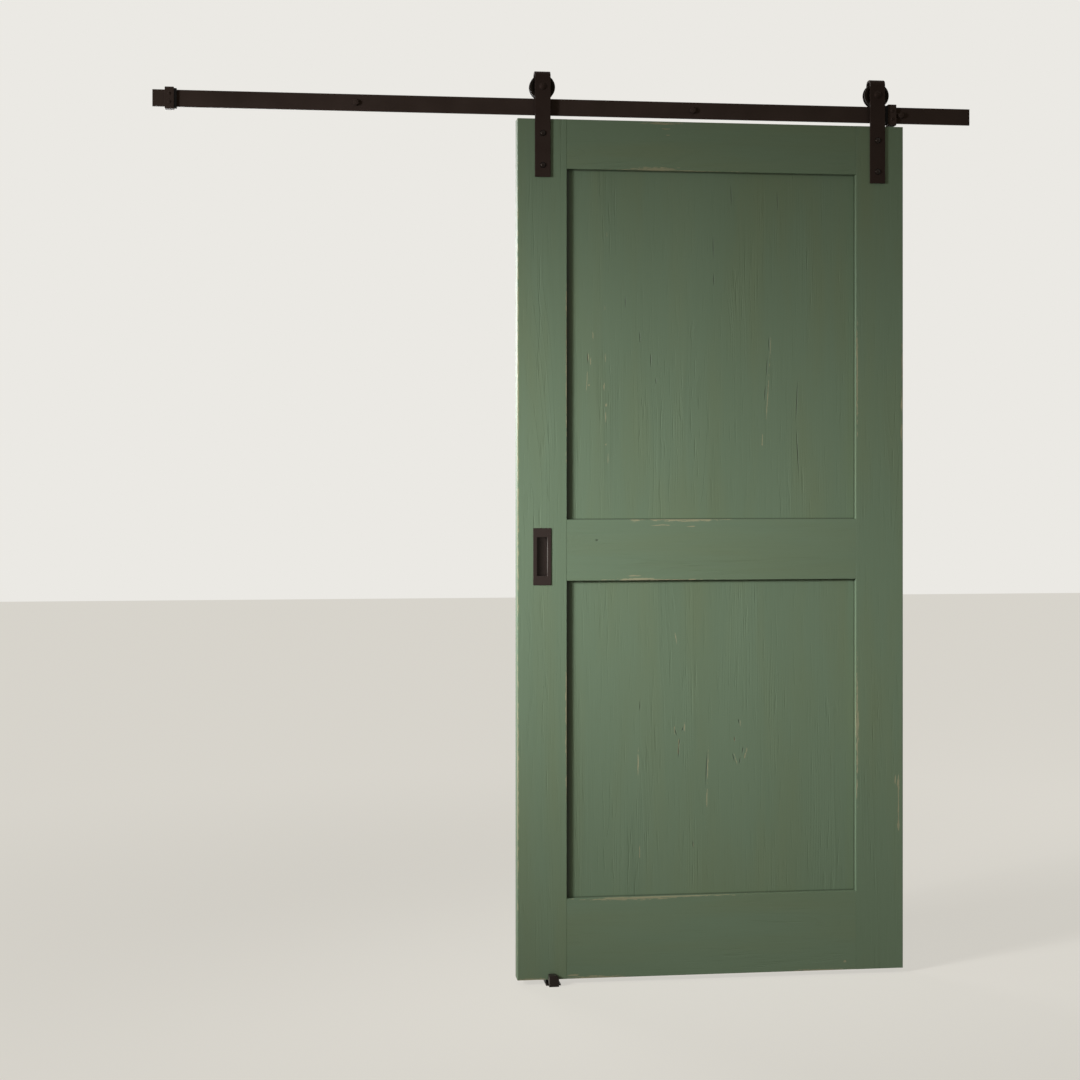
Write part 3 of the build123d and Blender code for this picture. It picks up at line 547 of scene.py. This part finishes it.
def corner_shade(tree, board, name):
    """How much painted shade lies on a panel, from 0 to 1."""
    below, above = ("lock_rail", "top_rail") if name == "upper_panel" else ("bottom_rail", "lock_rail")
    half_across = (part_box("right_stile")[0].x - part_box("left_stile")[1].x) / 2
    half_along = (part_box(above)[0].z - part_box(below)[1].z) / 2
    away = add(tree, "ShaderNodeVectorMath", {0: board}, operation="ABSOLUTE")
    away = add(tree, "ShaderNodeVectorMath", {0: (half_across, 0, half_along), 1: away}, operation="SUBTRACT")
    away = add(tree, "ShaderNodeSeparateXYZ", {"Vector": away})
    corner = add(tree, "ShaderNodeMath", {0: away.outputs["X"], 1: away.outputs["Z"]}, operation="MINIMUM")
    shade_mask = add(tree, "ShaderNodeMapRange", {
        "Value": corner, "From Min": corner_shade_width, "From Max": 0, "To Max": corner_shade_most,
    }, interpolation_type="SMOOTHSTEP")
    across = add(tree, "ShaderNodeSeparateXYZ", {"Vector": board})
    left = add(tree, "ShaderNodeMath", {0: across, 1: half_across})
    left = add(tree, "ShaderNodeMapRange", {
        "Value": left, "From Min": left_shadow_width, "From Max": left_shadow_core, "To Max": left_shadow_most,
    }, interpolation_type="SMOOTHSTEP")
    return add(tree, "ShaderNodeMath", {0: shade_mask, 1: left}, operation="MAXIMUM")


# Paint: fibres, late wood and brush strokes show in it as fine relief and as a change of tone, more in
# some patches than in others, and clouds and an olive tinge pass over it. The fibres are drawn coarser
# than real ones, so that they show, and they and the strokes run along the board.
fibre_width = 4.2 * mm
fibre_stretch = (1, 1, 0.03)
fibre_height = 0.05 * mm
fibre_tone = 0.3
ring_height = 0.24 * mm
ring_tone = -0.1
stroke_width = 7.5 * mm
stroke_stretch = (1, 1, 0.075)
stroke_edge = (0.56, 0.68)
stroke_height = -0.3 * mm
stroke_least = 0.3
stroke_tone = -0.12
patch_width = 70 * mm
patch_edge = (0.5, 0.64)
patch_least = 0.1
cloud_width = 220 * mm
cloud_tone = 0.6
paint_tone = 0.15
olive_edge = (0.45, 0.7)
olive_most = 0.35
film_height = 0.12 * mm
slit_edge = (1.1, 0.2)
slit_depth = 0.8 * mm
slit_shade = 0.6


def painted_board(name, seed, heart_side, heart_depth, heart_tilt):
    """Matt paint on one softwood board, whose heart runs along it at heart_side and heart_depth behind
    its face, tilted by heart_tilt. The rings cut the face in long arches, as in a flat-sawn board."""
    material, tree = new_material(f"painted_{name}")
    board = board_place(tree, name)
    panel = name.endswith("panel")
    timber = glued_staves(tree, board, seed) if panel else board
    late = late_wood(tree, timber, seed, heart_side, heart_depth, heart_tilt)

    grain = add(tree, "ShaderNodeMapping", {
        "Vector": timber, "Location": (0, seed, 0), "Scale": fibre_stretch,
    })
    fibre = add(tree, "ShaderNodeTexNoise", {"Vector": grain, "Scale": 1 / fibre_width, "Detail": 3})
    slow = add(tree, "ShaderNodeMapping", {"Vector": board, "Location": (seed, 0, 0), "Scale": drawn_out})
    cloud = add(tree, "ShaderNodeTexNoise", {"Vector": slow, "Scale": 1 / cloud_width, "Detail": 3})
    patch = add(tree, "ShaderNodeTexNoise", {"Vector": slow, "Scale": 1 / patch_width, "Detail": 2})
    raised = add(tree, "ShaderNodeMapRange", {
        "Value": patch, "From Min": patch_edge[0], "From Max": patch_edge[1], "To Min": patch_least,
    })
    late = add(tree, "ShaderNodeMath", {0: late, 1: raised}, operation="MULTIPLY")
    brushed = add(tree, "ShaderNodeMapping", {
        "Vector": board, "Location": (seed, 0, 0), "Scale": stroke_stretch,
    })
    stroke = add(tree, "ShaderNodeTexNoise", {"Vector": brushed, "Scale": 1 / stroke_width, "Detail": 2})
    stroke = add(tree, "ShaderNodeMapRange", {
        "Value": stroke, "From Min": stroke_edge[0], "From Max": stroke_edge[1],
    }, interpolation_type="SMOOTHSTEP")
    spread = add(tree, "ShaderNodeMapRange", {"Value": raised, "To Min": stroke_least})
    stroke = add(tree, "ShaderNodeMath", {0: stroke, 1: spread}, operation="MULTIPLY")
    bare = bare_wood(tree, board, name, seed)

    tone = add(tree, "ShaderNodeMath", {0: fibre, 1: fibre_tone, 2: paint_tone}, operation="MULTIPLY_ADD")
    tone = add(tree, "ShaderNodeMath", {0: stroke, 1: stroke_tone, 2: tone}, operation="MULTIPLY_ADD")
    tone = add(tree, "ShaderNodeMath", {0: late, 1: ring_tone, 2: tone}, operation="MULTIPLY_ADD")
    tone = add(tree, "ShaderNodeMath", {0: cloud, 1: cloud_tone, 2: tone}, operation="MULTIPLY_ADD",
               use_clamp=True)
    paint = add(tree, "ShaderNodeMix", {0: tone, 6: linear(paint_shade), 7: linear(paint_light)},
                data_type="RGBA")
    olive = add(tree, "ShaderNodeSeparateColor", {"Color": patch.outputs["Color"]}).outputs["Green"]
    tinge = add(tree, "ShaderNodeMapRange", {
        "Value": olive, "From Min": olive_edge[0], "From Max": olive_edge[1], "To Max": olive_most,
    })
    paint = add(tree, "ShaderNodeMix", {0: tinge, 6: paint, 7: linear(paint_olive)}, data_type="RGBA")
    wood = add(tree, "ShaderNodeMix", {0: fibre, 6: linear(wood_dark), 7: linear(wood_light)},
               data_type="RGBA")
    colour = add(tree, "ShaderNodeMix", {0: bare, 6: paint, 7: wood}, data_type="RGBA")

    height = add(tree, "ShaderNodeMath", {0: fibre, 1: fibre_height}, operation="MULTIPLY")
    height = add(tree, "ShaderNodeMath", {0: stroke, 1: stroke_height, 2: height}, operation="MULTIPLY_ADD")
    height = add(tree, "ShaderNodeMath", {0: late, 1: ring_height, 2: height}, operation="MULTIPLY_ADD")
    height = add(tree, "ShaderNodeMath", {0: bare, 1: -film_height, 2: height}, operation="MULTIPLY_ADD")
    if name in slits:
        inside = nearest_mark(tree, board, slits[name])
        slit = add(tree, "ShaderNodeMapRange", {
            "Value": inside, "From Min": slit_edge[0], "From Max": slit_edge[1],
        }, interpolation_type="SMOOTHSTEP")
        height = add(tree, "ShaderNodeMath", {0: slit, 1: -slit_depth, 2: height}, operation="MULTIPLY_ADD")
        # The slits are also painted dark inside, as painted shade in the groove.
        shade = add(tree, "ShaderNodeMath", {0: slit, 1: slit_shade}, operation="MULTIPLY")
        colour = add(tree, "ShaderNodeMix", {0: shade, 6: colour, 7: linear(shade_colour)}, data_type="RGBA")
    if panel:
        # The panels' corners are painted darker, as painted shade and the frame's painted shadow.
        shade_mask = corner_shade(tree, board, name)
        colour = add(tree, "ShaderNodeMix", {0: shade_mask, 6: colour, 7: linear(shade_colour)}, data_type="RGBA")
    relief = add(tree, "ShaderNodeBump", {"Height": height, "Strength": 1, "Distance": 1})
    rough = add(tree, "ShaderNodeMapRange", {
        "Value": bare, "To Min": paint_roughness, "To Max": wood_roughness,
    })
    shader = add(tree, "ShaderNodeBsdfPrincipled", {
        "Base Color": colour, "Roughness": rough, "Specular IOR Level": paint_specular, "Normal": relief,
    })
    add(tree, "ShaderNodeOutputMaterial", {"Surface": shader})
    dress(material, name)


# Each board's seed, then how far its heart lies to the side and behind its face, in millimetres, and its
# tilt in radians.
boards = {
    "left_stile": (1.3, -30, 90, 0.03),
    "right_stile": (2.7, 50, 70, -0.02),
    "top_rail": (3.1, 20, 110, 0.05),
    "lock_rail": (4.9, -40, 80, -0.04),
    "bottom_rail": (5.2, 30, 100, 0.06),
    "upper_panel": (6.4, 0, 80, 0.02),
    "lower_panel": (7.8, 0, 90, -0.03),
}
for name, (seed, heart_side, heart_depth, heart_tilt) in boards.items():
    painted_board(name, seed, heart_side * mm, heart_depth * mm, heart_tilt)

# Flush pulls: one casting each, a plate and a cup let into the leaf, coated smoother and glossier than the
# bar, with two pan head screws in the cup's floor. The cup is painted darker towards its floor and its left
# side, as painted shade, and the rim on its right has a painted highlight.
pull_dark = "#241c1a"
pull_light = "#2e2624"
pull_tint = "#ffeae0"
pull_roughness = 0.3
pull_specular = 0.4
pull_border = 9.5 * mm
pull_mouth = 10 * mm
pull_floor = 14 * mm
# Where the painted shade in each cup is darkest and where it ends, on the lit side.
pull_shaded_side = 4 * mm
pull_lit_side = 17 * mm
pull_highlight = (1.1 * mm, 10 * mm, 56 * mm)
for face, into_leaf in (("front", 1), ("rear", -1)):
    low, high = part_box(f"{face}_pull")
    plate = low.y if face == "front" else high.y
    cup = low.x + pull_border
    hollow = (plate + into_leaf * pull_mouth, plate + into_leaf * pull_floor, cup + pull_shaded_side,
              cup + pull_lit_side)
    # The rim on the cup's right gets a painted highlight.
    rim = (high.x - pull_border, plate, (low.z + high.z) / 2)
    pull_coat = baked_coat(f"coated_casting_{face}", pull_dark, pull_light, pull_roughness, pull_specular,
                           pull_tint, hollow, (rim, pull_highlight))
    dress(pull_coat, f"{face}_pull", f"{face}_pull_screws")

# Hangers: flat bar bent over the wheel, bolted through the stile to flanged barrel nuts. The axle bolt
# carries two bushes and the bearing's inner ring between the strap's legs.
strap_dark = "#302623"
strap_light = "#3f3531"
oxide_black = "#120e0c"
oxide_brown = "#1a1512"
oxide_tint = "#ffe4d6"
oxide_roughness = 0.16
oxide_specular = 0.18

# The straps, bushes and axles have the bar's powder coat, a little darker. The bolts and nuts have black
# oxide, thinner and glossier than the powder coat, so their domes catch a glint.
bolt_coat = baked_coat("black_oxide_steel", oxide_black, oxide_brown, oxide_roughness, oxide_specular,
                       oxide_tint)
strap_coat = baked_coat("powder_coated_strap", strap_dark, strap_light, coat_roughness, coat_specular,
                        coat_tint)
for side in ("left", "right"):
    dress(strap_coat, f"{side}_hanger_strap", f"{side}_front_bush", f"{side}_rear_bush", f"{side}_axle_bolt",
          f"{side}_axle_nut")
    dress(bolt_coat, f"{side}_hanger_bolts", f"{side}_hanger_nuts")

# Wheels: turned steel with a groove that runs on the bar, on a ball bearing held by a snap ring. The
# bearing's rings, balls and shields are ground steel, bright, with fine marks round the axle.
steel_dark = "#6f6c68"
steel_light = "#a39f99"
steel_roughness = 0.28
steel_lines = 1.2 * mm
steel_line_height = 0.01 * mm


def ground_steel(name, axle):
    """Ground steel: a metal, bright, whose fine marks run round the axle and stretch its highlights.
    They are drawn coarser than the real ones, so that they show."""
    material, tree = new_material(name)
    place = add(tree, "ShaderNodeTexCoord").outputs["Object"]
    centred = add(tree, "ShaderNodeVectorMath", {0: place, 1: axle}, operation="SUBTRACT")
    spoke = add(tree, "ShaderNodeVectorMath", {0: centred, 1: (1, 0, 1)}, operation="MULTIPLY")
    radius = add(tree, "ShaderNodeVectorMath", {0: spoke}, operation="LENGTH")
    marks = add(tree, "ShaderNodeTexNoise", {"W": radius, "Scale": 1 / steel_lines, "Detail": 3},
                noise_dimensions="1D")
    colour = add(tree, "ShaderNodeMix", {0: marks, 6: linear(steel_dark), 7: linear(steel_light)},
                 data_type="RGBA")
    relief = add(tree, "ShaderNodeBump", {"Height": marks, "Strength": 1, "Distance": steel_line_height})
    shader = add(tree, "ShaderNodeBsdfPrincipled", {
        "Base Color": colour, "Metallic": 1, "Roughness": steel_roughness, "Normal": relief,
    })
    add(tree, "ShaderNodeOutputMaterial", {"Surface": shader})
    return material


# Coat on the wheels: darker than the straps, worn dull by the bar.
wheel_dark = "#221e1a"
wheel_light = "#2d2722"
wheel_tint = "#ffe9dd"
wheel_roughness = 0.5
wheel_specular = 0.05
wheel_coat = baked_coat("coated_wheel", wheel_dark, wheel_light, wheel_roughness, wheel_specular, wheel_tint)
for side in ("left", "right"):
    low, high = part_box(f"{side}_inner_race")
    steel = ground_steel(f"{side}_bearing_steel", (low + high) / 2)
    dress(wheel_coat, f"{side}_wheel")
    dress(steel, f"{side}_inner_race", f"{side}_outer_race", f"{side}_bearing_balls", f"{side}_bearing_cage",
          f"{side}_bearing_shields", f"{side}_retaining_ring")

# Floor: a plain pale studio floor that the guide stands on. It and the air behind it show pale to the
# camera and in reflections, the floor a little less so near the door, where the shadow falls. The world
# lights the door with an even fill.
floor_grey = "#8f8d88"
floor_colour = "#dfdcd5"
air_colour = "#ebe9e4"
fill_colour = "#f6e5b4"
fill_strength = 0.12
floor_glow = 0.88
near_glow = 0.76
near_floor = 1.5
far_floor = 4
floor_half = 14


def shown(tree):
    """1 for what the camera sees, straight or in a reflection or through glass, and 0 for other light."""
    ray = add(tree, "ShaderNodeLightPath")
    seen = add(tree, "ShaderNodeMath", {0: ray.outputs["Is Camera Ray"], 1: ray.outputs["Is Glossy Ray"]},
               operation="MAXIMUM")
    return add(tree, "ShaderNodeMath", {0: seen, 1: ray.outputs["Is Transmission Ray"]},
               operation="MAXIMUM")


floor_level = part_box("floor_guide")[0].z
sheet = bmesh.new()
bmesh.ops.create_grid(sheet, x_segments=1, y_segments=1, size=floor_half,
                      matrix=Matrix.Translation((0, 0, floor_level)))
floor_mesh = bpy.data.meshes.new("floor")
sheet.to_mesh(floor_mesh)
sheet.free()
floor = bpy.data.objects.new("floor", floor_mesh)
bpy.context.scene.collection.objects.link(floor)
floor_paint, tree = new_material("studio_floor")
lit = add(tree, "ShaderNodeBsdfDiffuse", {"Color": linear(floor_grey)})
place = add(tree, "ShaderNodeTexCoord").outputs["Object"]
away = add(tree, "ShaderNodeVectorMath", {0: place}, operation="LENGTH")
strength = add(tree, "ShaderNodeMapRange", {
    "Value": away, "From Min": near_floor, "From Max": far_floor, "To Min": near_glow, "To Max": floor_glow,
}, interpolation_type="SMOOTHSTEP")
glow = add(tree, "ShaderNodeEmission", {"Color": linear(floor_colour), "Strength": strength})
pale = add(tree, "ShaderNodeAddShader", {0: lit, 1: glow})
surface = add(tree, "ShaderNodeMixShader", {0: shown(tree), 1: lit, 2: pale})
add(tree, "ShaderNodeOutputMaterial", {"Surface": surface})
floor_mesh.materials.append(floor_paint)

world = bpy.data.worlds.new("studio_air")
bpy.context.scene.world = world
world.use_nodes = True
world.node_tree.nodes.clear()
tree = world.node_tree
fill = add(tree, "ShaderNodeBackground", {"Color": linear(fill_colour), "Strength": fill_strength})
air = add(tree, "ShaderNodeBackground", {"Color": linear(air_colour), "Strength": 1})
backdrop = add(tree, "ShaderNodeMixShader", {0: shown(tree), 1: fill, 2: air})
add(tree, "ShaderNodeOutputWorld", {"Surface": backdrop})

# Studio light: a soft box at the front left with a hot core that the bolts and edges glint in, whose reach
# fades towards the top and the right of the leaf, and a larger box behind the leaf at its left, which
# lights the leaf's left edge and the back.
key_place = (-2.95, -1.75, -0.25)
key_aim = (0.1, 0, -1.24)
key_size = (1.0, 0.9)
key_power = 9.4
key_spread = 43
core_size = (0.16, 0.16)
core_power = 9
core_spread = 100
rear_place = (-1.3, 2.4, -0.3)
rear_aim = (-0.2, 0, -0.6)
rear_size = (1.2, 1)
rear_power = 8.5
rear_spread = 70


def soft_box(name, place, aim, size, power, spread):
    """A rectangular studio lamp at a place, turned to what it lights."""
    lamp = bpy.data.lights.new(name, "AREA")
    lamp.shape = "RECTANGLE"
    lamp.size, lamp.size_y = size
    lamp.energy = power
    lamp.spread = radians(spread)
    thing = bpy.data.objects.new(name, lamp)
    bpy.context.scene.collection.objects.link(thing)
    thing.location = place
    thing.rotation_euler = (Vector(aim) - Vector(place)).to_track_quat("-Z", "Y").to_euler()


soft_box("key", key_place, key_aim, key_size, key_power, key_spread)
soft_box("key_core", key_place, key_aim, core_size, core_power, core_spread)
soft_box("rear", rear_place, rear_aim, rear_size, rear_power, rear_spread)

# Camera: level, at a standing adult's chest height, a little to the left of the leaf and turned towards
# it, as in the photograph. The shift keeps the upright edges upright.
camera_place = (-0.79304, -4.56443, -0.88528)
camera_turn = -7.1115
camera_lens = 62.79
camera_shift = -0.0623
lens = bpy.data.cameras.new("camera")
lens.lens = camera_lens
lens.shift_y = camera_shift
camera = bpy.data.objects.new("camera", lens)
bpy.context.scene.collection.objects.link(camera)
camera.location = camera_place
camera.rotation_euler = (pi / 2, 0, radians(camera_turn))
bpy.context.scene.camera = camera
bpy.context.scene.view_settings.view_transform = "Standard"
